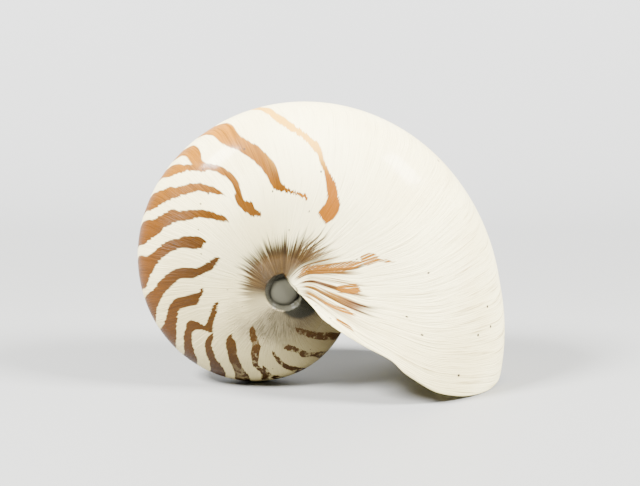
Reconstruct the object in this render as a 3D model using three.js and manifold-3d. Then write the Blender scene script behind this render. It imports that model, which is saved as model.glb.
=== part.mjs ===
// Nautilus shell, whole and empty, standing on its aperture lip and its last whorl.
// Millimetres, +Z up. The coil's axis is parallel to Y, the mouth opens towards +X and down.
// The origin is the middle of the bottom of the shell's bounding box.
import * as THREE from 'three';
import Module from 'manifold-3d';

// ---- driving dimensions ----
const COIL_RADIUS = 96;        // coil axis to venter where the last whorl crosses the +X side
const HALF_WIDTH = 0.37;       // widest half breadth of a whorl, as a part of its venter radius
const WIDEST_AT = 0.50;        // where the whorl is widest, same unit
const VENTER_ROUND = 0.19;     // how blunt the venter is, same unit
const SHOULDER = [0.155, 0.296];  // shoulder of the umbilicus: radius, half breadth
const SEAM = [0.046, 0.258];   // where the whorl ends beside the coil's axis
const FULL_SHARE = 1.1675;     // outline length, from the venter, that counts as one share
const WALL = 0.0177;           // wall thickness as a part of the venter radius
const SEPTUM = 1.5;            // thickness of the last septum, in degrees of coil
const SEPTUM_DISH = 20;        // how far back the septum is dished, in degrees of coil
const CHAMBER_BACK = 140;      // body chamber runs this far back from the lip, degrees
const HOLLOW_BACK = 448;       // gas chambers are hollow to here, degrees back from the lip
const CALLUS_TOP = 27.6;       // height of the umbilical callus above the median plane
const CALLUS_RADIUS = 8.3;     // its rim
const CALLUS_SLOPE = 0.33;     // its fall outwards on a whorl of unit radius
const PIT_DEPTH = 2;           // depth of the pit inside the rim
const FLAP_RISE = 0.6;         // how far the lip's root stands above the rim
const FLAP_EDGE = 4.2;         // how near the coil's axis the straight edge of the root passes
const FLAP_FACES = -0.617;     // angle of that nearest point, radians
const BURIED = 1.5;            // how much lower the callus is where the next whorl covers it
const SIPHUNCLE = 2.4;         // radius of the hole in the septum
const TURN_STEP = 8;           // degrees of coil between two rows of the outer surface

// Growth rate of ln(radius) per radian, at ages given as an angle before the +X side.
const AGES = [-20, -6.4, -5.2, -4.4, -3.4, -2.4, -1.4, -0.6, 0, 0.08, 0.6, 2];
const RATES = [0.18, 0.18, 0.28, 0.221, 0.16, 0.134, 0.131, 0.142, 0.192, 0.27, 0.28, 0.28];

// Shape of the lip and of every growth line: angle in degrees at a share of the way
// from the venter (0) to the umbilical seam (1).
const LINE_AT = [0, 0.06, 0.13, 0.22, 0.35, 0.5, 0.7, 0.87, 0.92, 0.946, 0.961, 0.972, 0.98, 0.984];
const LINE_ANGLE = [22, 25.2, 27.2, 29.5, 32.6, 32.2, 32.8, 33, 26, 19, 10, 0, -16, -45];

const rad = THREE.MathUtils.degToRad;

function lerpTable(xs, ys, x) {
  let i = 1;
  while (i < xs.length - 1 && x > xs[i]) i += 1;
  const f = Math.min(1, Math.max(0, (x - xs[i - 1]) / (xs[i] - xs[i - 1])));
  return ys[i - 1] + (ys[i] - ys[i - 1]) * f;
}

// ln(radius) as the exact integral of the piecewise linear rate.
function area(a, b) {
  return ((lerpTable(AGES, RATES, a) + lerpTable(AGES, RATES, b)) / 2) * (b - a);
}

function venterRadius(angle) {
  const from = Math.min(0, angle);
  const to = Math.max(0, angle);
  const inside = AGES.filter((v) => v > from && v < to);
  const stops = [from, ...inside, to];
  let sum = 0;
  for (let i = 1; i < stops.length; i += 1) sum += area(stops[i - 1], stops[i]);
  return COIL_RADIUS * Math.exp(angle < 0 ? -sum : sum);
}

// Half outline of a whorl from the venter over the flank to the umbilical seam.
function bezier(a, b, c, d) {
  const v = (p) => new THREE.Vector2(p[0], p[1]);
  return new THREE.CubicBezierCurve(v(a), v(b), v(c), v(d));
}
const outline = new THREE.CurvePath();
outline.add(bezier([1, 0], [1, VENTER_ROUND], [WIDEST_AT + 0.22, HALF_WIDTH],
  [WIDEST_AT, HALF_WIDTH]));
outline.add(bezier([WIDEST_AT, HALF_WIDTH], [WIDEST_AT - 0.16, HALF_WIDTH],
  [SHOULDER[0] + 0.07, SHOULDER[1] + 0.055], SHOULDER));
outline.add(bezier(SHOULDER, [SHOULDER[0] - 0.03, SHOULDER[1] - 0.024],
  [SEAM[0] + 0.027, SEAM[1] + 0.004], SEAM));

// Points of the half outline at n + 1 places, moved inwards by inset.
function halfSection(n, inset) {
  const pts = [];
  for (let j = 0; j <= n; j += 1) {
    // closer together round the venter and towards the seam
    const t = j / n;
    const u = Math.min(1, 1.32 * t - 0.32 * t ** 3.4 + 0.12 * t * (t - 1) * (1 - t));
    const p = outline.getPointAt(u);
    const a = outline.getPointAt(Math.max(0, u - 0.004));
    const b = outline.getPointAt(Math.min(1, u + 0.004));
    const tan = b.sub(a).normalize();
    if (j === 0) tan.set(0, 1);
    const s = (u * outline.getLength()) / FULL_SHARE;
    // the inside also stops short of the seam, so a wall is left beside the axis
    const short = Math.max(0, (u - 0.9) / 0.1) * inset;
    pts.push({
      s, rho: p.x - tan.y * inset + short, zeta: j === 0 ? 0 : p.y + tan.x * inset,
    });
  }
  return pts;
}

function smoothMax(a, b, k) {
  const h = Math.max(0, k - Math.abs(a - b));
  return Math.max(a, b) + (h * h) / (4 * k);
}

// Callus laid over the umbilicus: a low cone round a shallow pit with a low button in it.
// The lip's root runs straight across one side of the pit and covers it. Under the next whorl
// the callus lies lower.
function callus(r, unit, angle, turn) {
  const beyond = r * Math.cos(angle - FLAP_FACES) - FLAP_EDGE;
  const pit = 1 - THREE.MathUtils.smoothstep(beyond, -0.3, 0.5);
  const inside = THREE.MathUtils.smoothstep(CALLUS_RADIUS - r, 0, 2.2);
  const fall = (CALLUS_SLOPE * Math.max(0, r - CALLUS_RADIUS)) / unit;
  const sink = BURIED * THREE.MathUtils.smoothstep(turn, 350, 372);
  return CALLUS_TOP + FLAP_RISE * (1 - pit) * inside - PIT_DEPTH * inside * pit - fall - sink;
}

// A point of the shell, turn in degrees back from the lip.
function place(turn, p, side, withCallus) {
  const angle = rad(lerpTable(LINE_AT, LINE_ANGLE, p.s) - turn);
  const size = venterRadius(angle);
  const r = size * p.rho;
  let y = size * p.zeta;
  if (withCallus && p.s > 0.45) y = smoothMax(y, callus(r, size / COIL_RADIUS, angle, turn), 1.6);
  return [r * Math.cos(angle), -side * y, -r * Math.sin(angle)];
}

// Closed tube through rows. A row is {turn, shrink}: shrink pulls it to the chamber's middle.
function tube(rows, n, inset, withCallus) {
  const half = halfSection(n, inset);
  const pos = [];
  const idx = [];
  const m = 2 * n + 1;
  for (const row of rows) {
    const k = row.shrink ?? 1;
    const pts = half.map((p) => ({
      s: p.s, rho: 0.66 + (p.rho - 0.66) * k, zeta: p.zeta * k,
    }));
    for (let j = 0; j <= n; j += 1) pos.push(...place(row.turn, pts[j], 1, withCallus));
    for (let j = n; j >= 1; j -= 1) pos.push(...place(row.turn, pts[j], -1, withCallus));
  }
  for (let i = 0; i + 1 < rows.length; i += 1) {
    for (let j = 0; j < m; j += 1) {
      const a = i * m + j;
      const b = i * m + ((j + 1) % m);
      idx.push(a, b, b + m, a, b + m, a + m);
    }
  }
  const cap = (start, flip) => {
    const far = (j) => (j === 0 ? start : start + m - j);
    for (let j = 0; j < n; j += 1) {
      const quad = [start + j, start + j + 1, far(j + 1), far(j)];
      const tris = j === 0 ? [[0, 1, 2]] : [[0, 1, 2], [0, 2, 3]];
      for (const t of tris) {
        const ids = t.map((q) => quad[q]);
        idx.push(...(flip ? ids.reverse() : ids));
      }
    }
  };
  cap(0, true);
  cap((rows.length - 1) * m, false);
  return { pos, idx };
}

// Rows from one turn to another, evenly spaced.
function rows(from, to, step) {
  const count = Math.round((to - from) / step);
  return Array.from({ length: count + 1 }, (_, i) => ({ turn: from + i * step }));
}

// Rows of the dished back of a chamber.
function dish(from, deep, count) {
  const out = [];
  for (let i = 1; i <= count; i += 1) {
    const a = (i / count) * rad(82);
    out.push({ turn: from + deep * Math.sin(a), shrink: Math.cos(a) });
  }
  return out;
}

const wasm = await Module();
wasm.setup();

function solid({ pos, idx }) {
  let volume = 0;
  for (let i = 0; i < idx.length; i += 3) {
    const [a, b, c] = [0, 1, 2].map((k) => new THREE.Vector3(...pos.slice(3 * idx[i + k],
      3 * idx[i + k] + 3)));
    volume += a.dot(b.cross(c));
  }
  if (volume < 0) {
    for (let i = 0; i < idx.length; i += 3) [idx[i], idx[i + 1]] = [idx[i + 1], idx[i]];
  }
  const mesh = new wasm.Mesh({
    numProp: 3, vertProperties: new Float32Array(pos), triVerts: new Uint32Array(idx),
  });
  return new wasm.Manifold(mesh);
}

function fromGeometry(geometry) {
  const pos = Array.from(geometry.getAttribute('position').array);
  const key = new Map();
  const out = [];
  const map = [];
  for (let i = 0; i < pos.length; i += 3) {
    const p = pos.slice(i, i + 3);
    const id = p.map((v) => Math.round(v * 1e4) + 0).join();
    if (!key.has(id)) {
      key.set(id, out.length / 3);
      out.push(...p);
    }
    map.push(key.get(id));
  }
  const raw = Array.from(geometry.index.array, (v) => map[v]);
  const idx = [];
  for (let i = 0; i < raw.length; i += 3) {
    const [a, b, c] = raw.slice(i, i + 3);
    if (a !== b && b !== c && a !== c) idx.push(a, b, c);
  }
  return solid({ pos: out, idx });
}

// ---- the last whorl, the one under it, and the start of the coil ----
const lastWhorl = solid(tube(rows(0, 43 * TURN_STEP, TURN_STEP), 15, 0, true));
const innerWhorl = solid(tube(rows(42 * TURN_STEP, 83 * TURN_STEP, TURN_STEP), 15, 0, true));

const oldestWhorl = solid(tube(rows(58 * TURN_STEP, 94 * TURN_STEP, 2 * TURN_STEP), 9, 0, true));

// ---- the core that closes the umbilicus on both sides ----
const floorHeight = CALLUS_TOP - PIT_DEPTH;
const coreHalf = [
  [0, floorHeight + 0.9], [2.6, floorHeight + 0.85], [4.6, floorHeight + 0.65],
  [5.7, floorHeight + 0.2], [6.3, floorHeight - 0.6],
];
const coreProfile = [
  ...coreHalf.map((p) => new THREE.Vector2(p[0], -p[1])),
  ...coreHalf.toReversed().map((p) => new THREE.Vector2(p[0], p[1])),
];
const core = fromGeometry(new THREE.LatheGeometry(coreProfile, 24));

// ---- hollows ----
const septumFront = [...rows(-12, CHAMBER_BACK, 8), ...dish(CHAMBER_BACK, SEPTUM_DISH, 5)];
const bodyChamber = solid(tube(septumFront, 12, WALL, false));
const septumBack = [
  ...rows(116, CHAMBER_BACK + SEPTUM, (CHAMBER_BACK + SEPTUM - 116) / 3),
  ...dish(CHAMBER_BACK + SEPTUM, SEPTUM_DISH, 5),
];
const septumSolid = solid(tube(septumBack, 12, WALL / 2, false));
const gasRows = [...rows(124, HOLLOW_BACK, 12), ...dish(HOLLOW_BACK, 12, 2)];
const gasChambers = solid(tube(gasRows, 9, WALL, false));

// ---- siphuncle hole through the middle of the septum ----
const holeTurn = CHAMBER_BACK + SEPTUM_DISH;
const hole = new THREE.CylinderGeometry(SIPHUNCLE, SIPHUNCLE, 16, 12);
const middle = { s: 0.3, rho: 0.66, zeta: 0 };
const here = new THREE.Vector3(...place(holeTurn, middle, 1, false));
const next = new THREE.Vector3(...place(holeTurn - 4, middle, 1, false));
const along = next.clone().sub(here).normalize();
hole.applyQuaternion(new THREE.Quaternion().setFromUnitVectors(new THREE.Vector3(0, 1, 0), along));
hole.translate(here.x, here.y, here.z);
const siphuncle = fromGeometry(hole);

const chamber = bodyChamber.subtract(innerWhorl).subtract(core);
const gas = gasChambers.subtract(septumSolid).subtract(oldestWhorl).subtract(core);
const shell = lastWhorl.add(innerWhorl).add(core).subtract(chamber).subtract(gas)
  .subtract(siphuncle);

// ---- geometry, stood on the ground on lip and venter ----
const result = shell.getMesh();
const geometry = new THREE.BufferGeometry();
const stride = result.numProp;
const flat = new Float32Array((result.vertProperties.length / stride) * 3);
for (let i = 0; i < flat.length / 3; i += 1) {
  for (let c = 0; c < 3; c += 1) flat[3 * i + c] = result.vertProperties[stride * i + c];
}
geometry.setAttribute('position', new THREE.BufferAttribute(flat, 3));
geometry.setIndex(new THREE.BufferAttribute(new Uint32Array(result.triVerts), 1));

// Lowest point on each side of the gap between lip and venter, for a small turn about Y.
function lowest(turn, lipSide) {
  let low = Infinity;
  for (let i = 0; i < flat.length; i += 3) {
    if (flat[i] > 0.3 * COIL_RADIUS === lipSide) {
      low = Math.min(low, flat[i + 2] * Math.cos(turn) - flat[i] * Math.sin(turn));
    }
  }
  return low;
}
let lean = 0;
for (let k = 0; k < 40; k += 1) {
  lean += (lowest(lean, true) - lowest(lean, false)) / (0.9 * COIL_RADIUS);
}
geometry.rotateY(lean);
geometry.computeBoundingBox();
const box = geometry.boundingBox;
geometry.translate(-(box.min.x + box.max.x) / 2, -(box.min.y + box.max.y) / 2, -box.min.z);
geometry.computeVertexNormals();

const pearl = new THREE.MeshStandardMaterial({
  name: 'shell', color: new THREE.Color(0.9, 0.87, 0.8), roughness: 0.35, metalness: 0,
});
const mesh = new THREE.Mesh(geometry, pearl);
mesh.name = 'nautilus_shell';

const nautilus = new THREE.Group();
nautilus.name = 'nautilus';
nautilus.add(mesh);
export default nautilus;
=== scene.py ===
"""A nautilus shell: its grown surface, markings and mother-of-pearl, and a plain studio."""
import bisect
import math

import bmesh
import bpy
from mathutils import Matrix, Quaternion, Vector


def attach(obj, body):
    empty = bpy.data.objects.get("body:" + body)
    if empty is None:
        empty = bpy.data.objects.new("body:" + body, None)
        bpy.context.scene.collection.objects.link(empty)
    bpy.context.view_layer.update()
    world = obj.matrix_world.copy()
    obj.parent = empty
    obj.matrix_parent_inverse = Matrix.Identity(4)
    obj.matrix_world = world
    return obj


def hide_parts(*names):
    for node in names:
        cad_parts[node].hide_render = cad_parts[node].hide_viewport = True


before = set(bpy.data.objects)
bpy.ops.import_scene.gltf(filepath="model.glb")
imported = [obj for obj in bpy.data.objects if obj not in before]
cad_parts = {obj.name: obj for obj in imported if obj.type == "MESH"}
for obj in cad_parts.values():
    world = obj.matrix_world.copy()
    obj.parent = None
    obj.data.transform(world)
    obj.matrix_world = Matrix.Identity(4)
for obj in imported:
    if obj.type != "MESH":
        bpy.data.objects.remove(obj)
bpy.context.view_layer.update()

# ---------------------------------------------------------------- the shell's measures, in mm
COIL_RADIUS = 96.0            # coil axis to venter, where the last whorl crosses the +X side
AXIS_X, AXIS_Z = -18.692, 46.624  # the coil's axis in the part's frame
LEAN = -0.01162               # turn about the axis that stands the shell on lip and venter
CALLUS_TOP = 27.6             # height of the callus over the middle plane
CALLUS_RADIUS = 8.3           # of its pit
CALLUS_SLOPE = 0.33           # it falls this steeply outside the pit
CALLUS_BLEND = 1.6            # width of the fillet where it meets the whorl
PIT_DEPTH = 2.0
PIT_BANK = 2.2                # width of the slope round the pit
FLAP_RISE = 0.6               # the lip's root covers the pit and stands this much higher
FLAP_EDGE = 4.2               # the root's edge crosses the pit this near the axis
FLAP_FACES = -0.617           # the way that edge faces, in radians round the coil
FLAP_STEP = (-0.3, 0.5)       # the root drops into the pit between these, about its edge
BURIED = 1.5                  # the callus lies this much lower under the next whorl
BURIED_TURNS = (350, 372)     # degrees over which it sinks

# ---------------------------------------------------------------- a whorl's section, as parts of
# the venter radius: distance from the axis, then half breadth
HALF_WIDTH = 0.37
WIDEST_AT = 0.50
VENTER_ROUND = 0.19
SHOULDER = (0.155, 0.296)
SEAM = (0.046, 0.258)
FULL_SHARE = 1.1675           # outline length, from the venter, that counts as one share
CALLUS_FROM = 0.45            # share of the outline past which the callus can show
WALL = 0.0177                 # thickness of the wall, as a part of the venter radius
WALL_AT_LIP = 0.6             # what is left of that thickness at the lip
WALL_THICKENS = 30.0          # degrees over which it grows back to the whole
CHAMBER_BACK = 140.0          # degrees from the lip back to the septum's rim
SEPTUM_DISH = 20.0            # degrees the septum is dished
SEPTUM_CENTRE = 0.66          # radius towards which the septum narrows

# ---------------------------------------------------------------- growth: ln of the venter radius
# gained per radian, at radians round the coil, where 0 is the +X side and below 0 is older
AGES = (-20, -6.4, -5.2, -4.4, -3.4, -2.4, -1.4, -0.6, 0, 0.08, 0.6, 2)
RATES = (0.18, 0.18, 0.28, 0.221, 0.16, 0.134, 0.131, 0.142, 0.192, 0.27, 0.28, 0.28)
# The lip's edge bows out and back in on its way across the flank: degrees at shares of the
# outline from venter to seam.
LINE_AT = (0, 0.06, 0.13, 0.22, 0.34, 0.45, 0.55, 0.62, 0.72, 0.87,
           0.92, 0.946, 0.961, 0.972, 0.98, 0.984)
LINE_ANGLE = (22, 25.2, 27.2, 29.3, 32.0, 33.6, 33.2, 31.3, 32.3, 33,
              26, 19, 10, 0, -16, -45)

# The markings lie on plainer lines than the full-grown lip's, stated the same way.
PLAIN_AT = (0, 0.06, 0.13, 0.22, 0.35, 0.5, 0.7, 0.88, 1)
PLAIN_ANGLE = (24, 27, 28.5, 29.5, 31.5, 33.5, 32.5, 32.5, 30)

# ---------------------------------------------------------------- how fine the surface is
COLUMNS = 72                  # places round half a whorl
SEAM_CROWD, SEAM_POWER = 0.26, 4.6  # how the columns draw together towards the seam
VENTER_CROWD = 0.1            # and round the venter
SEAM_MARGIN = 0.1             # part of the outline, at the seam, where the inside stops short
LAST_FROM = 343               # degrees back from the lip where the last whorl starts
INNER_FROM = 342              # and where the older coil ends, just under it
INNER_STEP, INNER_ROWS = 2.5, 130  # degrees between its rows
LIP_ROWS, LIP_ROUND = 6, 0.5  # rows over the lip's edge, and the degrees it is rounded by
CHAMBER_STEP = 2.0            # degrees between rows inside the body chamber
SEPTUM_ROWS, SEPTUM_ARC = 10, 86  # the septum's rows, up to this far round its dish
LATHE_STEPS = 64
ONE_POINT = 0.001             # points nearer than this are one
SHARP_ANGLE = 38              # degrees past which an edge is left sharp
MM = 0.001
WHOLE_TURN = 360.0            # degrees


# ---------------------------------------------------------------- growth
def between(xs, ys, x):
    """Straight line between stated values."""
    i = min(max(bisect.bisect_right(xs, x), 1), len(xs) - 1)
    f = min(1.0, max(0.0, (x - xs[i - 1]) / (xs[i] - xs[i - 1])))
    return ys[i - 1] + (ys[i] - ys[i - 1]) * f


def flowing(xs, ys, x):
    """Smooth line through stated values, with no overshoot."""
    i = min(max(bisect.bisect_right(xs, x), 1), len(xs) - 1)
    slopes = [(ys[k + 1] - ys[k]) / (xs[k + 1] - xs[k]) for k in range(len(xs) - 1)]

    def tangent(k):
        if k in (0, len(xs) - 1):
            return 0.0
        a, b = slopes[k - 1], slopes[k]
        return 0.0 if a * b <= 0 else 2 * a * b / (a + b)

    h = xs[i] - xs[i - 1]
    t = min(1.0, max(0.0, (x - xs[i - 1]) / h))
    levels = (2 * t ** 3 - 3 * t ** 2 + 1) * ys[i - 1] + (3 * t ** 2 - 2 * t ** 3) * ys[i]
    bends = (t ** 3 - 2 * t ** 2 + t) * tangent(i - 1) + (t ** 3 - t ** 2) * tangent(i)
    return levels + bends * h


def grown(angle):
    """ln of the venter radius: the exact integral of the rate from 0 to angle."""
    low, high = min(0.0, angle), max(0.0, angle)
    stops = [low] + [v for v in AGES if low < v < high] + [high]
    total = sum((between(AGES, RATES, a) + between(AGES, RATES, b)) / 2 * (b - a)
                for a, b in zip(stops, stops[1:]))
    return total if angle > 0 else -total


SIZE_STEP = 0.01
SIZE_START = -14.0
SIZE_COUNT = 1650
SIZES = [COIL_RADIUS * math.exp(grown(SIZE_START + i * SIZE_STEP)) for i in range(SIZE_COUNT)]


def venter_radius(angle):
    """Coil axis to venter, in mm, read between the worked-out sizes."""
    k = (angle - SIZE_START) / SIZE_STEP
    i = int(k)
    return SIZES[i] + (SIZES[i + 1] - SIZES[i]) * (k - i)


def bezier(*corners, n=80):
    """Points along a curve with four corners."""
    pts = []
    for i in range(n + 1):
        t = i / n
        u = 1 - t
        weights = (u ** 3, 3 * u * u * t, 3 * u * t * t, t ** 3)
        pts.append([sum(w * c[k] for w, c in zip(weights, corners)) for k in (0, 1)])
    return pts


def half_outline():
    """Share of the way from venter to seam, radius and half breadth, closely spaced."""
    pts = bezier((1, 0), (1, VENTER_ROUND),
                 (WIDEST_AT + 0.22, HALF_WIDTH), (WIDEST_AT, HALF_WIDTH))
    pts += bezier((WIDEST_AT, HALF_WIDTH), (WIDEST_AT - 0.16, HALF_WIDTH),
                  (SHOULDER[0] + 0.07, SHOULDER[1] + 0.055), SHOULDER)[1:]
    pts += bezier(SHOULDER, (SHOULDER[0] - 0.03, SHOULDER[1] - 0.024),
                  (SEAM[0] + 0.027, SEAM[1] + 0.004), SEAM)[1:]
    run = [0.0]
    for a, b in zip(pts, pts[1:]):
        run.append(run[-1] + math.hypot(b[0] - a[0], b[1] - a[1]))
    return [r / FULL_SHARE for r in run], [p[0] for p in pts], [p[1] for p in pts]


SHARES, RHOS, ZETAS = half_outline()


def section(inset):
    """Places round half a whorl, venter to seam: share, radius, half breadth."""
    ring = []
    near = 0.004  # the outline's direction is read this far to either side
    for k in range(COLUMNS):
        t = (k + 0.5) / (COLUMNS - 0.5)
        crowded = SEAM_CROWD * t ** SEAM_POWER + VENTER_CROWD * t * (1 - t) ** 2
        s = ((1 + SEAM_CROWD) * t - crowded) * SHARES[-1]
        r, z = between(SHARES, RHOS, s), between(SHARES, ZETAS, s)
        lo, hi = max(0.0, s - near), min(SHARES[-1], s + near)
        dr = between(SHARES, RHOS, hi) - between(SHARES, RHOS, lo)
        dz = between(SHARES, ZETAS, hi) - between(SHARES, ZETAS, lo)
        n = math.hypot(dr, dz)
        # the inside also stops short of the seam, so a wall is left beside the axis
        short = max(0.0, s / SHARES[-1] - 1 + SEAM_MARGIN) / SEAM_MARGIN * inset
        ring.append((s, r - dz / n * inset + short, z + dr / n * inset))
    return ring


def smooth_max(a, b, k):
    """The greater of two, rounded over where they are within k of each other."""
    h = max(0.0, k - abs(a - b))
    return max(a, b) + h * h / (4 * k)


def easing(x, low, high):
    """0 below low, 1 above high, smooth between."""
    t = min(1.0, max(0.0, (x - low) / (high - low)))
    return t * t * (3 - 2 * t)


def callus_height(r, unit, angle, turn):
    """A low cone round a shallow pit that the lip's root half covers."""
    beyond = r * math.cos(angle - FLAP_FACES) - FLAP_EDGE
    pit = 1 - easing(beyond, *FLAP_STEP)
    inside = easing(CALLUS_RADIUS - r, 0, PIT_BANK)
    fall = CALLUS_SLOPE * max(0.0, r - CALLUS_RADIUS) / unit
    sink = BURIED * easing(turn, *BURIED_TURNS)
    return CALLUS_TOP + FLAP_RISE * (1 - pit) * inside - PIT_DEPTH * inside * pit - fall - sink


def stand(x, y, z):
    """From the coil's own frame to the part's, in metres."""
    c, s = math.cos(LEAN), math.sin(LEAN)
    return Vector(((c * x + s * z + AXIS_X) * MM, y * MM, (-s * x + c * z + AXIS_Z) * MM))


def place(turn, share, rho, zeta, callus=True):
    """A point of the shell, turn in degrees back from the lip."""
    side = 1 if share >= 0 else -1
    angle = math.radians(flowing(LINE_AT, LINE_ANGLE, abs(share)) - turn)
    size = venter_radius(angle)
    r = size * rho
    y = size * zeta
    if callus and abs(share) > CALLUS_FROM:
        y = smooth_max(y, callus_height(r, size / COIL_RADIUS, angle, turn), CALLUS_BLEND)
    return stand(r * math.cos(angle), -side * y, -r * math.sin(angle))


# ---------------------------------------------------------------- whorls, grown row by row
OUTER, NACRE = 0, 1           # the materials' places on the shell


def start_whorl(turn):
    """A ring of points on one growth line, ready to be drawn out along the coil."""
    bm = bmesh.new()
    bm.verts.layers.float.new("turn")
    shares = bm.verts.layers.float.new("share")
    bmesh.ops.create_circle(bm, segments=2 * COLUMNS, radius=1.0)
    half = [s for s, r, z in section(0.0)]
    for v, s in zip(bm.verts, half + [-s for s in reversed(half)]):
        v[shares] = s
    lay_row(bm, list(bm.verts), turn)
    return bm, list(bm.edges)


def lay_row(bm, verts, turn, inset=0.0, shrink=1.0, callus=True):
    """Moves a row of points onto its growth line. A share below 0 is on the far flank."""
    turns = bm.verts.layers.float["turn"]
    shares = bm.verts.layers.float["share"]
    ring = {round(s, 4): (r, z) for s, r, z in section(inset)}
    for v in verts:
        r, z = ring[round(abs(v[shares]), 4)]
        v[turns] = turn
        rho = SEPTUM_CENTRE + (r - SEPTUM_CENTRE) * shrink
        v.co = place(turn, v[shares], rho, z * shrink, callus)


def draw_out(bm, edges):
    """Extrudes an open edge. Gives its new points, edges along it and faces."""
    out = bmesh.ops.extrude_edge_only(bm, edges=edges)["geom"]
    verts = [g for g in out if isinstance(g, bmesh.types.BMVert)]
    faces = [g for g in out if isinstance(g, bmesh.types.BMFace)]
    new = set(verts)
    edges = [g for g in out if isinstance(g, bmesh.types.BMEdge) and new.issuperset(g.verts)]
    return verts, edges, faces


def grow(bm, edges, turn, inset=0.0, shrink=1.0, callus=True, material=OUTER):
    """Draws the open edge of the whorl out to the next growth line."""
    verts, edges, faces = draw_out(bm, edges)
    for f in faces:
        f.material_index = material
    lay_row(bm, verts, turn, inset, shrink, callus)
    return edges


def close_end(bm, edges, material=OUTER):
    """Closes an open end straight across, flank to flank."""
    shares = bm.verts.layers.float["share"]
    sides = [e for e in edges if e.verts[0][shares] * e.verts[1][shares] > 0]
    made = bmesh.ops.bridge_loops(bm, edges=sides)["faces"]
    for f in made:
        f.material_index = material


def plain_turn(turn, share):
    """The turn counted back from the plain line instead of the lip."""
    away = abs(share)
    return turn + flowing(PLAIN_AT, PLAIN_ANGLE, away) - flowing(LINE_AT, LINE_ANGLE, away)


def finished(bm, name):
    """Mesh object with its growth coordinates as a UV map."""
    bmesh.ops.recalc_face_normals(bm, faces=bm.faces)
    turns = bm.verts.layers.float["turn"]
    shares = bm.verts.layers.float["share"]
    growth = bm.loops.layers.uv.new("growth")
    for f in bm.faces:
        f.smooth = True
        for loop in f.loops:
            turn, share = loop.vert[turns], loop.vert[shares]
            loop[growth].uv = (plain_turn(turn, share) / WHOLE_TURN, share)
    mesh = bpy.data.meshes.new(name)
    bm.to_mesh(mesh)
    bm.free()
    piece = bpy.data.objects.new(name, mesh)
    bpy.context.collection.objects.link(piece)
    return piece


def wall_at(turn):
    """The wall thins towards the lip."""
    return WALL * (WALL_AT_LIP + (1 - WALL_AT_LIP) * easing(turn, 0, WALL_THICKENS))


def last_whorl():
    """From under the lip round to the lip, over its edge, and back inside to the septum."""
    bm, edges = start_whorl(LAST_FROM)
    close_end(bm, edges)
    for turn in range(LAST_FROM - 1, 0, -1):
        edges = grow(bm, edges, turn)
    lip = wall_at(0)
    for i in range(LIP_ROWS + 1):
        a = math.pi * i / LIP_ROWS
        edges = grow(bm, edges, LIP_ROUND * (1 - math.sin(a)), inset=lip * (1 - math.cos(a)) / 2,
                     material=OUTER if i < LIP_ROWS - 1 else NACRE)
    turn = CHAMBER_STEP
    while turn < CHAMBER_BACK:
        edges = grow(bm, edges, turn, inset=wall_at(turn), callus=False, material=NACRE)
        turn += CHAMBER_STEP
    for i in range(SEPTUM_ROWS):
        a = math.radians(SEPTUM_ARC * i / (SEPTUM_ROWS - 1))
        edges = grow(bm, edges, CHAMBER_BACK + SEPTUM_DISH * math.sin(a), inset=WALL,
                     shrink=math.cos(a), callus=False, material=NACRE)
    close_end(bm, edges, NACRE)
    return finished(bm, "last_whorl")


def inner_whorl():
    """The older coil that the last whorl is wrapped round."""
    bm, edges = start_whorl(INNER_FROM)
    close_end(bm, edges)
    first_rows = [INNER_FROM + turn for turn in (1, 2, 4)]
    later_rows = [INNER_FROM + 6 + INNER_STEP * i for i in range(INNER_ROWS)]
    for turn in first_rows + later_rows:
        edges = grow(bm, edges, turn)
    close_end(bm, edges)
    return finished(bm, "inner_whorl")


# The low button in the pit: distance from the axis and height over the pit's floor.
BUTTON = ((0, 0.9), (1.4, 0.89), (2.6, 0.84), (3.8, 0.74), (4.7, 0.6), (5.3, 0.4), (5.8, 0.05),
          (6.3, -0.6))
CORE_TURN, CORE_SHARE = 200.0, 0.97  # it takes its colour from the old wall beside the seam


def umbilical_core():
    """The callus that closes the umbilicus, right through the coil, with a button at each end."""
    floor = CALLUS_TOP - PIT_DEPTH
    bm = bmesh.new()
    turns = bm.verts.layers.float.new("turn")
    shares = bm.verts.layers.float.new("share")
    near_end = [bm.verts.new((r, -floor - y, 0.0)) for r, y in BUTTON]
    far_end = [bm.verts.new((r, floor + y, 0.0)) for r, y in reversed(BUTTON)]
    chain = near_end + far_end
    edges = [bm.edges.new(pair) for pair in zip(chain, chain[1:])]
    bmesh.ops.spin(bm, geom=chain + edges, cent=(0, 0, 0), axis=(0, 1, 0),
                   angle=2 * math.pi, steps=LATHE_STEPS, use_merge=True)
    bmesh.ops.remove_doubles(bm, verts=bm.verts, dist=ONE_POINT)
    for v in bm.verts:
        v.co = stand(*v.co)
        v[turns] = CORE_TURN
        v[shares] = CORE_SHARE if v.co.y < 0 else -CORE_SHARE
    return finished(bm, "umbilical_core")


def join(base, *others):
    """Unites closed solids and keeps the growth coordinates."""
    for other in others:
        union = base.modifiers.new("join", "BOOLEAN")
        union.operation = "UNION"
        union.solver = "MANIFOLD"
        union.object = other
    graph = bpy.context.evaluated_depsgraph_get()
    mesh = bpy.data.meshes.new_from_object(base.evaluated_get(graph))
    name = base.name
    for o in (base, *others):
        bpy.data.objects.remove(o)
    mesh.name = name
    piece = bpy.data.objects.new(name, mesh)
    bpy.context.collection.objects.link(piece)
    return piece


shell = join(last_whorl(), inner_whorl(), umbilical_core())
shell.name = "nautilus_shell_wall"
lowest = min(v.co.z for v in shell.data.vertices)
shell.data.transform(Matrix.Translation((0, 0, -lowest)))
shell.data.set_sharp_from_angle(angle=math.radians(SHARP_ANGLE))


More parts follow.
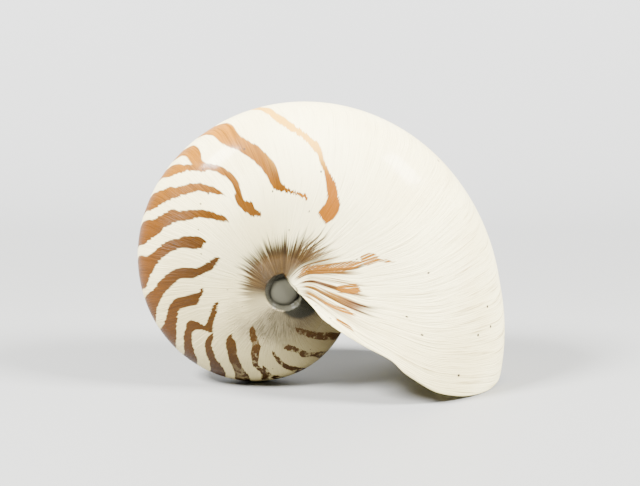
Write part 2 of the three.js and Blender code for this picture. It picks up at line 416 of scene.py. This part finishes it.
# ---------------------------------------------------------------- node helpers
class Bench:
    """Places nodes in one tree, with plain calls for the sums it uses most."""

    def __init__(self, tree):
        self.tree = tree

    def put(self, kind, **settings):
        n = self.tree.nodes.new(kind)
        for key, value in settings.items():
            setattr(n, key, value)
        return n

    def wire(self, value, socket):
        if isinstance(value, bpy.types.NodeSocket):
            self.tree.links.new(value, socket)
        else:
            socket.default_value = value

    def math(self, operation, a, b=0.0, clamp=False):
        n = self.put("ShaderNodeMath", operation=operation, use_clamp=clamp)
        for value, socket in zip((a, b), n.inputs):
            self.wire(value, socket)
        return n.outputs[0]

    def plus(self, a, b):
        return self.math("ADD", a, b)

    def minus(self, a, b):
        return self.math("SUBTRACT", a, b)

    def times(self, a, b, clamp=False):
        return self.math("MULTIPLY", a, b, clamp)

    def length(self, a, b):
        return self.math("POWER", self.plus(self.times(a, a), self.times(b, b)), 0.5)

    def ramp(self, value, low, high, out_low=0.0, out_high=1.0):
        """Smooth step from out_low, where value is low, to out_high."""
        n = self.put("ShaderNodeMapRange", interpolation_type="SMOOTHSTEP")
        for v, socket in zip((value, low, high, out_low, out_high), n.inputs):
            self.wire(v, socket)
        return n.outputs[0]

    def blend(self, factor, a, b):
        """Colour a, with as much of b over it as factor says."""
        n = self.put("ShaderNodeMix", data_type="RGBA", clamp_factor=True)
        self.wire(factor, n.inputs["Factor"])
        for value, key in ((a, "A"), (b, "B")):
            socket = next(s for s in n.inputs if s.name == key and s.type == "RGBA")
            self.wire((*value, 1.0) if isinstance(value, tuple) else value, socket)
        return next(s for s in n.outputs if s.type == "RGBA")

    def vector(self, x, y, z=0.0):
        n = self.put("ShaderNodeCombineXYZ")
        for value, socket in zip((x, y, z), n.inputs):
            self.wire(value, socket)
        return n.outputs[0]

    def split(self, vector):
        n = self.put("ShaderNodeSeparateXYZ")
        self.wire(vector, n.inputs[0])
        return n.outputs

    def noise(self, vector, scale=1.0, detail=2.0, rough=0.5, distortion=0.0):
        n = self.put("ShaderNodeTexNoise", noise_dimensions="3D")
        self.wire(vector, n.inputs["Vector"])
        n.inputs["Scale"].default_value = scale
        n.inputs["Detail"].default_value = detail
        n.inputs["Roughness"].default_value = rough
        n.inputs["Distortion"].default_value = distortion
        return n.outputs["Fac"]

    def combed(self, turn, share, across, along, layer=0.0, **kind):
        """Noise drawn out along the growth lines. The two scales say how fine it is each way."""
        return self.noise(self.vector(self.times(turn, across), self.times(share, along), layer),
                          **kind)

    def bump(self, height, strength, distance):
        n = self.put("ShaderNodeBump")
        n.inputs["Strength"].default_value = strength
        n.inputs["Distance"].default_value = distance
        self.wire(height, n.inputs["Height"])
        return n.outputs[0]


def srgb(*channels):
    """A colour as seen, 0 to 255, as the light it stands for."""
    parts = [c / 255 for c in channels]
    return tuple(c / 12.92 if c <= 0.04 else ((c + 0.055) / 1.055) ** 2.4 for c in parts)


def group(name, inputs, outputs):
    """An empty shader group with named sockets. An input comes with its first value."""
    tree = bpy.data.node_groups.new(name, "ShaderNodeTree")
    for key, value in inputs.items():
        kind = "NodeSocketVector" if isinstance(value, tuple) else "NodeSocketFloat"
        tree.interface.new_socket(key, in_out="INPUT", socket_type=kind).default_value = value
    for key in outputs:
        tree.interface.new_socket(key, in_out="OUTPUT", socket_type="NodeSocketFloat")
    bench = Bench(tree)
    return bench, bench.put("NodeGroupInput").outputs, bench.put("NodeGroupOutput").inputs


def use(bench, tree, **values):
    """Places a shader group and gives its outputs."""
    n = bench.put("ShaderNodeGroup", node_tree=tree)
    for key, value in values.items():
        bench.wire(value, n.inputs[key])
    return n.outputs


# ---------------------------------------------------------------- shared effects
def make_growth_lines():
    """Fine lines left by growth: height and a soft shade, along lines of equal turn."""
    b, i, o = group("growth_lines", {"Turn": 0.0, "Share": 0.0, "Coarse": 1.0, "Fine": 1.0},
                    ("Height", "Shade"))
    fine = b.combed(i["Turn"], i["Share"], 2.6, 5.0, detail=3.0, rough=0.6)
    coarse = b.combed(i["Turn"], i["Share"], 0.62, 2.5, 4.0, detail=3.0, rough=0.55)
    b.wire(b.plus(b.times(fine, i["Fine"]), b.times(coarse, i["Coarse"])), o["Height"])
    b.wire(b.times(b.minus(fine, 0.5), b.ramp(coarse, 0.35, 0.65)), o["Shade"])
    return b.tree


def make_specks():
    """Small dark pits, one to a cell of the place's grid at most, and fewer the greater the rarity."""
    b, i, o = group("specks", {"Place": (0.0, 0.0, 0.0), "Rarity": 0.9, "Size": 0.05}, ("Mask",))
    n = b.put("ShaderNodeTexVoronoi", feature="F1", voronoi_dimensions="2D")
    b.wire(i["Place"], n.inputs["Vector"])
    n.inputs["Scale"].default_value = 1.0
    chosen = b.put("ShaderNodeSeparateColor")
    b.wire(n.outputs["Color"], chosen.inputs[0])
    some = b.math("GREATER_THAN", chosen.outputs[0], i["Rarity"])
    spot = b.ramp(n.outputs["Distance"], b.times(i["Size"], 0.5), i["Size"], 1.0, 0.0)
    b.wire(b.times(some, spot), o["Mask"])
    return b.tree


GROWTH_LINES = make_growth_lines()
SPECKS = make_specks()


# ---------------------------------------------------------------- flame stripes
# Each stripe is a brush stroke: share from the venter, then its newer and older edge in degrees
# back from the lip. A stroke closes where its two edges meet.
STRIPES = {
    "first": ((0, 120, 124), (0.1, 119.5, 123), (0.2, 115, 119.4), (0.3, 106.9, 111.3),
              (0.4, 103, 105.8), (0.5, 95.6, 101.9), (0.56, 90.5, 99), (0.61, 89.6, 100.4),
              (0.66, 92, 92)),
    "second": ((0, 136.3, 144.4), (0.1, 134.4, 143), (0.2, 133.6, 140.8), (0.3, 128.8, 136.3),
               (0.4, 125.3, 131.9), (0.49, 123.4, 129.6), (0.515, 119.5, 127), (0.53, 116, 121),
               (0.555, 109, 113.5), (0.575, 109, 109)),
    "third": ((0, 150, 156.3), (0.1, 148.4, 154.6), (0.2, 150.4, 155.2), (0.3, 146.3, 150.2),
              (0.4, 143.5, 147.5), (0.5, 146, 150.6), (0.535, 142, 149.8), (0.57, 141, 147),
              (0.6, 137.8, 144), (0.62, 138, 138)),
    "third_fork": ((0, 159.4, 165.3), (0.1, 157.5, 164.4), (0.2, 153.6, 157.2),
                   (0.25, 151.5, 154.2), (0.3, 150, 150)),
    "fourth": ((0, 170.6, 179.4), (0.1, 169.4, 178.8), (0.2, 164.4, 172), (0.3, 157.5, 163.1),
               (0.4, 153.1, 156.3), (0.45, 153, 153)),
    "fifth": ((0, 182.5, 191.9), (0.1, 181.9, 192.5), (0.2, 178.1, 188.1), (0.25, 173.6, 183.5),
              (0.3, 172.5, 179.4), (0.4, 166.3, 172.1), (0.47, 162.5, 167.5), (0.53, 160, 163),
              (0.56, 160, 160)),
    "sixth": ((0, 196, 210), (0.1, 196, 210.6), (0.2, 194.4, 203.8), (0.3, 187.5, 195),
              (0.4, 181.9, 189.4), (0.5, 178.8, 185), (0.52, 179, 179)),
    "seventh": ((0, 214, 226), (0.1, 213, 224.6), (0.2, 210, 218.5), (0.3, 204.4, 212.5),
                (0.4, 199.4, 206.9), (0.5, 197.5, 204.4), (0.55, 192.5, 200), (0.6, 184.4, 193.5),
                (0.625, 184, 184)),
    "eighth": ((0, 229, 240), (0.1, 228.8, 239.8), (0.2, 225.6, 236.3), (0.3, 219, 228.5),
               (0.36, 216, 223), (0.47, 215.6, 223.5), (0.51, 214, 219), (0.535, 211, 214.5),
               (0.55, 211, 211)),
    "ninth": ((0, 242, 251.5), (0.1, 244.4, 253), (0.2, 241, 250), (0.3, 235, 241.5),
              (0.38, 231, 238.2), (0.43, 234, 241.5), (0.46, 238, 245.5), (0.51, 233.5, 240),
              (0.56, 226.5, 234), (0.6, 222.8, 226), (0.62, 223, 223)),
    "tenth": ((0, 258.8, 268), (0.1, 259.4, 268), (0.2, 257.5, 267), (0.3, 251.3, 259),
              (0.37, 246.8, 252.5), (0.44, 245.4, 248.8), (0.475, 245.5, 245.5)),
    "eleventh": ((0, 273, 281), (0.1, 272.5, 281), (0.2, 271.5, 280), (0.3, 268, 275.5),
                 (0.4, 261.9, 270), (0.5, 255, 263.5), (0.53, 254.6, 257.5), (0.55, 255, 255)),
    "twelfth": ((0, 287, 291), (0.25, 286, 291), (0.35, 280.5, 285), (0.45, 277.5, 284.2),
                (0.52, 275.5, 283.5), (0.6, 266.9, 275), (0.65, 263, 268.8), (0.68, 263, 263)),
    "thirteenth": ((0, 294, 300), (0.15, 292, 298), (0.2, 289, 294), (0.3, 286.9, 290.6),
                   (0.37, 287, 287)),
    "fourteenth": ((0, 306, 314), (0.2, 304, 310), (0.3, 299.4, 304), (0.4, 296.2, 299.8),
                   (0.46, 293.8, 297), (0.49, 294, 294)),
    "fifteenth": ((0, 323, 331), (0.2, 321.9, 327.5), (0.3, 315.6, 322), (0.4, 312, 318),
                  (0.46, 306, 314), (0.51, 302.5, 308), (0.53, 302.5, 302.5)),
    "sixteenth": ((0, 338.8, 346), (0.1, 338.8, 345), (0.3, 335, 343), (0.4, 331, 339),
                  (0.5, 326, 334), (0.6, 318.8, 326), (0.66, 319, 319)),
}

# Orange patches beside the lip's root, in the same measures.
ROOT_STROKES = {
    "block": ((0.72, 36, 36), (0.735, 33, 42), (0.8, 33, 42), (0.82, 38, 38)),
    "outer_block": ((0.605, 56, 56), (0.615, 52, 59), (0.66, 51.5, 60), (0.68, 56, 56)),
    "outer_tail": ((0.55, 50, 50), (0.57, 49.4, 51.5), (0.6, 51, 53.8), (0.63, 52.5, 55.5),
                   (0.65, 54, 54)),
    "long_band": ((0.66, 55, 55), (0.7, 53, 59), (0.8, 56, 68), (0.9, 70, 84), (0.93, 80, 80)),
    "lower_streak": ((0.75, 16, 16), (0.77, 16, 19), (0.86, 17, 22), (0.89, 21, 21)),
    "edge_streak": ((0.75, 5, 5), (0.77, 5, 8), (0.82, 6, 9), (0.84, 9, 9)),
}
COMB_REACH = 0.055            # how far, in share, the ends of a stroke are combed out
WANDER = 1.6                  # degrees by which its edges wander
EDGE = 1.8                    # how sharply it ends across the growth lines, per degree


def curve(bench, value, points):
    """A curve through (share, turn) points, read at value."""
    n = bench.put("ShaderNodeFloatCurve")
    line = n.mapping.curves[0]
    while len(line.points) > 2:
        line.points.remove(line.points[1])
    line.points[0].location = (points[0][0], points[0][1] / WHOLE_TURN)
    line.points[-1].location = (1.0, points[-1][1] / WHOLE_TURN)
    for x, y in points[1:]:
        line.points.new(x, y / WHOLE_TURN)
    for p in line.points:
        p.handle_type = "AUTO_CLAMPED"
    n.mapping.update()
    bench.wire(value, n.inputs["Value"])
    return bench.times(n.outputs[0], WHOLE_TURN)


def make_strokes(name, strokes):
    """Mask of all the strokes, with combed ends and slightly uneven edges."""
    b, i, o = group(name, {"Turn": 0.0, "Share": 0.0}, ("Mask",))
    comb = b.combed(i["Turn"], i["Share"], 1.15, 1.5, detail=2.0, rough=0.7)
    broad = b.combed(i["Turn"], i["Share"], 0.22, 9.0, 7.0, detail=1.0)
    away = b.math("ABSOLUTE", i["Share"])
    bent = b.plus(away, b.times(b.minus(comb, 0.5), COMB_REACH))
    turn = b.plus(i["Turn"], b.times(b.minus(broad, 0.5), WANDER))
    total = 0.0
    for points in strokes.values():
        newer = curve(b, bent, [(share, edge) for share, edge, _ in points])
        older = curve(b, bent, [(share, edge) for share, _, edge in points])
        inside = b.math("MINIMUM", b.minus(turn, newer), b.minus(older, turn))
        total = b.math("MAXIMUM", total, b.times(inside, EDGE, clamp=True))
    b.wire(total, o["Mask"])
    return b.tree


FLAMES = make_strokes("flames", STRIPES)
ROOT_PATCHES = make_strokes("root_patches", ROOT_STROKES)


# ---------------------------------------------------------------- colours of the wall
CREAM, CREAM_DEEP = srgb(249, 239, 186), srgb(240, 226, 168)
# painted shade: the cream as it falls on the older flank, where less light reaches
CREAM_SHADED = srgb(188, 172, 122)
GROWTH_SHADE = srgb(168, 146, 98)
DULL_PALE, DULL_DARK = srgb(156, 144, 112), srgb(98, 88, 66)
# painted shade on the down-facing underside of the oldest part of the whorl
UNDERSIDE_SHADE = (0.085, 0.060, 0.030)

# Each stripe's pigment at the venter, then on the flank. They are this deep because the
# lamps are strong.
YOUNG_STRIPE = (0.36, 0.138, 0.005), (0.130, 0.046, 0.002)
MIDDLE_STRIPE = (0.100, 0.034, 0.003), (0.048, 0.018, 0.0004)
OLD_STRIPE = (0.036, 0.014, 0.002), (0.062, 0.026, 0.0010)
STRIPE_STREAK = (0.046, 0.016, 0.001)
NEWEST_STRIPE, NEWEST_END = (0.66, 0.34, 0.035), (0.21, 0.068, 0.001)

# the third of these is painted shade: the rays darkened where they run down to the pit's rim
RAY_PALE, RAY_DARK, RAY_RIM_SHADE = (0.100, 0.058, 0.016), (0.028, 0.015, 0.004), (0.022, 0.013, 0.004)
ROOT_TAN, ROOT_ROSE = (0.19, 0.088, 0.012), (0.22, 0.115, 0.050)
ROOT_FOLD = (0.045, 0.018, 0.005)
ROOT_ORANGE = (0.22, 0.082, 0.003)
CALLUS_GREY, CALLUS_DARK = (0.036, 0.034, 0.023), (0.026, 0.024, 0.016)
BUTTON_GREY = (0.064, 0.061, 0.044)
SPECK_BROWN = (0.03, 0.02, 0.012)

PIT_EDGE = (-0.9, 0.1)        # mm about the callus radius, over which the pit's grey ends
BUTTON_EDGE = (5.2, 6.2)      # mm from the axis
SPREAD_AT = (7.8, -3.4)       # mm from the axis: callus spread on the whorl under the lip
SPREAD_EDGE = (8.2, 10.4)     # mm from its middle
HALF_TURN = 180.0             # a surface older than this belongs to the whorl under the lip


# ---------------------------------------------------------------- materials
def new_material(name):
    m = bpy.data.materials.new(name)
    m.use_nodes = True
    return m, Bench(m.node_tree), m.node_tree.nodes["Principled BSDF"]


def growth_place(b):
    """Turn in degrees and signed share, from the piece's own growth map."""
    u, v, _ = b.split(b.put("ShaderNodeUVMap", uv_map="growth").outputs[0])
    return b.times(u, WHOLE_TURN), v


def object_place(b):
    return b.put("ShaderNodeTexCoord").outputs["Object"]


class Wall:
    """Where a point of the outer wall lies, and the noises that several markings share."""

    def __init__(self, b):
        self.turn, self.share = growth_place(b)
        self.away = b.math("ABSOLUTE", self.share)
        self.place = object_place(b)
        # growth lines sweep back towards the umbilicus
        past = b.math("MAXIMUM", b.math("DIVIDE", b.minus(self.away, 0.7), 0.3), 0.0)
        sweep = b.times(b.math("POWER", past, 1.5), b.ramp(self.turn, 0.0, 60.0, 12.0, 40.0))
        swept = b.minus(self.turn, sweep)
        self.lines = use(b, GROWTH_LINES, Turn=swept, Share=self.share, Coarse=0.9, Fine=0.7)
        self.cloud = b.noise(self.place, scale=26.0, detail=3.0)
        self.streak = b.combed(self.turn, self.share, 1.4, 3.0, 11.0, detail=3.0, rough=0.65)
        self.fold = b.combed(swept, self.share, 0.27, 1.8, 21.0, detail=4.0, rough=0.62)
        self.ray = b.combed(self.turn, self.share, 0.6, 0.7, 3.0, detail=4.0, rough=0.8)
        # crinkled dull flank in front of the lip, under the umbilicus
        self.wrinkle = b.combed(self.turn, self.share, 0.55, 9.0, 31.0,
                                detail=4.0, rough=0.7, distortion=0.8)
        self.dull = b.times(b.ramp(self.turn, 222.0, 275.0), b.ramp(self.away, 0.40, 0.66))


def cream_ground(b, w):
    """Cream with the growth lines' soft shade, duller where it is old, and darkened by painted shade
    round the older flank and on the underside.
    """
    ground = b.blend(b.ramp(w.cloud, 0.35, 0.7), CREAM, CREAM_DEEP)
    # painted shade, darkening the cream from the top round the older left flank
    ground = b.blend(b.ramp(w.turn, 110.0, 270.0, 0.0, 0.8), ground, CREAM_SHADED)
    strength = b.ramp(w.turn, 20.0, 80.0, 6.5, 2.0)
    ground = b.blend(b.times(w.lines["Shade"], strength, clamp=True), ground, GROWTH_SHADE)
    worn = b.blend(b.ramp(w.wrinkle, 0.4, 0.6), DULL_PALE, DULL_DARK)
    ground = b.blend(b.times(w.dull, 0.92), ground, worn)
    # painted shade on the underside, near the oldest growth
    return b.blend(b.ramp(w.turn, 285.0, 340.0, 0.0, 0.75), ground, UNDERSIDE_SHADE)


def flame_stripes(b, w, ground):
    """Golden where new, brown where old, streaked, and rubbed through on the oldest flank."""
    young = b.blend(b.ramp(w.away, 0.0, 0.5), *YOUNG_STRIPE)
    middle = b.blend(b.ramp(w.away, 0.1, 0.55), *MIDDLE_STRIPE)
    old = b.blend(b.ramp(w.away, 0.1, 0.5), *OLD_STRIPE)
    pigment = b.blend(b.ramp(w.turn, 132.0, 190.0), young, middle)
    pigment = b.blend(b.ramp(w.turn, 190.0, 275.0), pigment, old)
    pigment = b.blend(b.ramp(w.streak, 0.4, 0.72, 0.0, 0.65), pigment, STRIPE_STREAK)
    newest = b.times(b.ramp(w.turn, 112.0, 122.0, 1.0, 0.0), b.ramp(w.away, 0.3, 0.5))
    pigment = b.blend(newest, pigment, NEWEST_END)
    pale = b.times(b.ramp(w.turn, 122.0, 130.0, 1.0, 0.0), b.ramp(w.away, 0.3, 0.46, 1.0, 0.0))
    pigment = b.blend(pale, pigment, NEWEST_STRIPE)
    rubbed = b.ramp(b.noise(w.place, scale=330.0, detail=3.0, rough=0.7), 0.5, 0.6)
    rubbed = b.times(rubbed, b.ramp(w.turn, 262.0, 300.0))
    left = b.times(b.ramp(w.streak, 0.68, 0.84, 1.0, 0.8), b.minus(1.0, b.times(rubbed, 0.8)))
    mask = use(b, FLAMES, Turn=w.turn, Share=w.share)["Mask"]
    return b.blend(b.times(mask, left), ground, pigment)


def umbilical_fan(b, w):
    """Mask and colour of the olive rays round the umbilicus, with painted shade darkening them at the
    pit's rim.
    """
    reach = b.plus(w.away, b.times(b.minus(w.ray, 0.5), 0.36))
    near_turn = b.minus(w.turn, b.ramp(w.away, 0.8, 0.95, 0.0, 22.0))
    band = b.times(b.ramp(near_turn, 50.0, 92.0), b.ramp(w.turn, 200.0, 262.0, 1.0, 0.0))
    olive = b.blend(b.ramp(w.ray, 0.30, 0.58), RAY_PALE, RAY_DARK)
    # painted shade where the rays meet the pit's rim
    olive = b.blend(b.ramp(w.away, 0.83, 0.91, 0.0, 0.55), olive, RAY_RIM_SHADE)
    return b.times(b.ramp(reach, 0.725, 0.80), band), olive


def root_streaks(b, w, painted, olive):
    """Brown and rose streaks between the folds at the lip's root, and orange patches."""
    near_root = b.times(b.ramp(w.turn, 4.0, 22.0), b.ramp(w.turn, 92.0, 118.0, 1.0, 0.0))
    inward = b.plus(w.away, b.times(b.minus(w.fold, 0.5), 0.5))
    rooted = b.times(near_root, b.ramp(inward, 0.70, 0.80))
    rooted = b.times(rooted, b.ramp(w.away, 0.93, 0.965, 1.0, 0.0))
    tan = b.blend(b.ramp(w.cloud, 0.4, 0.6), ROOT_TAN, ROOT_ROSE)
    tan = b.blend(b.ramp(w.fold, 0.52, 0.64), tan, ROOT_FOLD)
    tan = b.blend(b.ramp(w.turn, 58.0, 92.0, 0.0, 0.85), tan, olive)
    painted = b.blend(b.times(rooted, b.ramp(w.fold, 0.40, 0.52)), painted, tan)
    patches = use(b, ROOT_PATCHES, Turn=w.turn, Share=w.share)["Mask"]
    patches = b.times(patches, b.ramp(w.streak, 0.38, 0.50, 0.15, 1.0))
    return b.blend(patches, painted, ROOT_ORANGE)


def callus(b, w):
    """Mask and colour of the grey callus: the pit, its button, and what spread under the lip."""
    away_from_axis = b.put("ShaderNodeVectorMath", operation="SUBTRACT")
    b.wire(w.place, away_from_axis.inputs[0])
    away_from_axis.inputs[1].default_value = (AXIS_X * MM, 0.0, AXIS_Z * MM - lowest)
    x, _, z = b.split(away_from_axis.outputs[0])
    radius = b.length(x, z)
    facing = b.plus(b.times(x, math.cos(FLAP_FACES)), b.times(z, -math.sin(FLAP_FACES)))
    beyond = b.minus(facing, FLAP_EDGE * MM)
    under_lip = b.math("GREATER_THAN", w.turn, HALF_TURN)
    uncovered = b.math("MAXIMUM", b.ramp(beyond, -0.3 * MM, 0.1 * MM, 1.0, 0.0), under_lip)
    low, high = (CALLUS_RADIUS + v for v in PIT_EDGE)
    pit = b.times(b.ramp(radius, low * MM, high * MM, 1.0, 0.0), uncovered)
    off = b.length(b.minus(x, SPREAD_AT[0] * MM), b.minus(z, SPREAD_AT[1] * MM))
    spread = b.times(b.ramp(off, *(v * MM for v in SPREAD_EDGE), 1.0, 0.0), under_lip)
    button = b.ramp(radius, *(v * MM for v in BUTTON_EDGE), 1.0, 0.0)
    grey = b.blend(b.ramp(w.cloud, 0.3, 0.7), CALLUS_GREY, CALLUS_DARK)
    return b.math("MAXIMUM", pit, spread), b.blend(button, grey, BUTTON_GREY)


def wall_relief(b, w, fan):
    """Growth lines everywhere, folds near the root, wrinkles on the dull flank, the fan's rays."""
    folds = b.times(b.times(w.fold, b.ramp(w.away, 0.68, 0.85)), b.ramp(w.turn, 90.0, 125.0, 1.0, 0.0))
    relief = b.plus(w.lines["Height"], b.times(folds, 3.0))
    relief = b.plus(relief, b.times(b.times(w.wrinkle, w.dull), 2.2))
    relief = b.plus(relief, b.times(b.times(w.ray, fan), 0.8))
    return b.bump(relief, strength=0.6, distance=0.0011)


def porcelain():
    """The outer wall."""
    m, b, shader = new_material("porcelain_wall")
    w = Wall(b)
    painted = flame_stripes(b, w, cream_ground(b, w))
    fan, olive = umbilical_fan(b, w)
    painted = b.blend(fan, painted, olive)
    painted = root_streaks(b, w, painted, olive)
    grown_over, grey = callus(b, w)
    painted = b.blend(grown_over, painted, grey)
    cells = b.vector(b.times(w.turn, 0.17), b.times(w.share, 12.0))
    specks = use(b, SPECKS, Place=cells, Rarity=b.ramp(w.turn, 12.0, 40.0, 0.74, 0.955), Size=0.085)
    painted = b.blend(specks["Mask"], painted, SPECK_BROWN)

    b.wire(painted, shader.inputs["Base Color"])
    b.wire(b.ramp(w.cloud, 0.3, 0.7, 0.34, 0.44), shader.inputs["Roughness"])
    b.wire(wall_relief(b, w, fan), shader.inputs["Normal"])
    b.wire(b.minus(0.12, b.times(grown_over, 0.09)), shader.inputs["Coat Weight"])
    shader.inputs["Coat Roughness"].default_value = 0.14
    shader.inputs["Specular IOR Level"].default_value = 0.08
    return m


def nacre():
    """Mother-of-pearl on the inside."""
    m, b, shader = new_material("mother_of_pearl")
    turn, share = growth_place(b)
    lines = use(b, GROWTH_LINES, Turn=turn, Share=share, Coarse=1.0, Fine=0.2)
    shimmer = b.noise(object_place(b), scale=38.0, detail=3.0, distortion=0.6)
    pearl = b.blend(b.ramp(shimmer, 0.3, 0.7), srgb(196, 188, 174), srgb(178, 178, 166))
    pearl = b.blend(b.ramp(shimmer, 0.55, 0.8), pearl, srgb(204, 176, 160))
    b.wire(pearl, shader.inputs["Base Color"])
    b.wire(b.ramp(shimmer, 0.3, 0.7, 0.2, 0.34), shader.inputs["Roughness"])
    b.wire(b.bump(lines["Height"], strength=0.15, distance=0.0004), shader.inputs["Normal"])
    shader.inputs["Metallic"].default_value = 0.15
    shader.inputs["Coat Weight"].default_value = 0.4
    shader.inputs["Coat Roughness"].default_value = 0.12
    return m


shell.data.materials.clear()
shell.data.materials.append(porcelain())
shell.data.materials.append(nacre())

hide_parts("nautilus_shell")
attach(shell, "root")


# ---------------------------------------------------------------- studio, in metres
FLOOR_HALF, FLOOR_FRONT, FLOOR_BACK = 2.5, -1.6, 0.35
SWEEP_RISE, SWEEP_STEPS = 0.3, 16
WALL_HEIGHT = 2.2
# the paper's far colour is painted light, standing in for a lamp on the backdrop
PAPER_NEAR, PAPER_FAR_LIT = (0.235, 0.236, 0.228), (0.33, 0.332, 0.33)


def studio_paper():
    """Matt paper, a little lighter towards the back: painted light, in place of a lamp washing the
    backdrop.
    """
    m, b, shader = new_material("studio_paper")
    _, y, _ = b.split(object_place(b))
    # painted light: lighter towards the back
    b.wire(b.blend(b.ramp(y, 0.15, 0.6), PAPER_NEAR, PAPER_FAR_LIT), shader.inputs["Base Color"])
    shader.inputs["Roughness"].default_value = 0.55
    return m


def studio():
    """A pale floor that sweeps up into a backdrop."""
    bm = bmesh.new()
    ends = [bm.verts.new((x, FLOOR_FRONT, 0.0)) for x in (-FLOOR_HALF, FLOOR_HALF)]
    edges = [bm.edges.new(ends)]
    moves = [(0, FLOOR_BACK - FLOOR_FRONT, 0)]
    for i in range(SWEEP_STEPS):
        a0, a1 = (math.pi / 2 * k / SWEEP_STEPS for k in (i, i + 1))
        moves.append((0, SWEEP_RISE * (math.sin(a1) - math.sin(a0)),
                      SWEEP_RISE * (math.cos(a0) - math.cos(a1))))
    moves.append((0, 0, WALL_HEIGHT))
    for move in moves:
        verts, edges, _ = draw_out(bm, edges)
        bmesh.ops.translate(bm, verts=verts, vec=move)
    bmesh.ops.recalc_face_normals(bm, faces=bm.faces)
    for f in bm.faces:
        f.smooth = True
    mesh = bpy.data.meshes.new("studio_sweep")
    bm.to_mesh(mesh)
    bm.free()
    mesh.materials.append(studio_paper())
    sweep = bpy.data.objects.new("studio_sweep", mesh)
    bpy.context.collection.objects.link(sweep)


def softbox(name, where, power, side=0.28):
    """A square lamp of the given side that faces the shell."""
    light = bpy.data.lights.new(name, "AREA")
    light.shape = "RECTANGLE"
    light.size = side
    light.size_y = side
    light.energy = power
    o = bpy.data.objects.new(name, light)
    o.location = where
    o.rotation_euler = (Vector((0, 0, 0.05)) - Vector(where)).to_track_quat("-Z", "Y").to_euler()
    bpy.context.collection.objects.link(o)


studio()
softbox("left_softbox", (-0.70, -0.36, 0.86), 100.0)
softbox("right_softbox", (0.72, -0.34, 0.80), 82.0)

world = bpy.data.worlds.new("studio_air")
world.use_nodes = True
world.node_tree.nodes["Background"].inputs[0].default_value = (1, 1, 1, 1)
world.node_tree.nodes["Background"].inputs[1].default_value = 0.03
bpy.context.scene.world = world

# ---------------------------------------------------------------- camera
YAW, PITCH = math.radians(2.48), math.radians(12.92)
DISTANCE = 6 * COIL_RADIUS
LENS, SENSOR = 74.0, 36.0
AIM_RIGHT, AIM_UP = 16.955, 15.271  # mm from the coil's axis to the middle of the view
ROLL = -LEAN                  # it leans with the shell

right = Vector((math.cos(YAW), -math.sin(YAW), 0))
ahead = Vector((math.sin(YAW) * math.cos(PITCH), math.cos(YAW) * math.cos(PITCH), -math.sin(PITCH)))
up = right.cross(ahead)
coil_axis = Vector((AXIS_X * MM, 0, AXIS_Z * MM))
aim = coil_axis + (right * AIM_RIGHT + up * AIM_UP) * MM
lens = bpy.data.cameras.new("camera")
lens.lens = LENS
lens.sensor_width = SENSOR
lens.clip_start = 0.02
camera = bpy.data.objects.new("camera", lens)
camera.location = coil_axis - ahead * (DISTANCE * MM)
turned = (aim - camera.location).to_track_quat("-Z", "Y") @ Quaternion((0, 0, 1), ROLL)
camera.rotation_euler = turned.to_euler()
bpy.context.collection.objects.link(camera)
bpy.context.scene.camera = camera
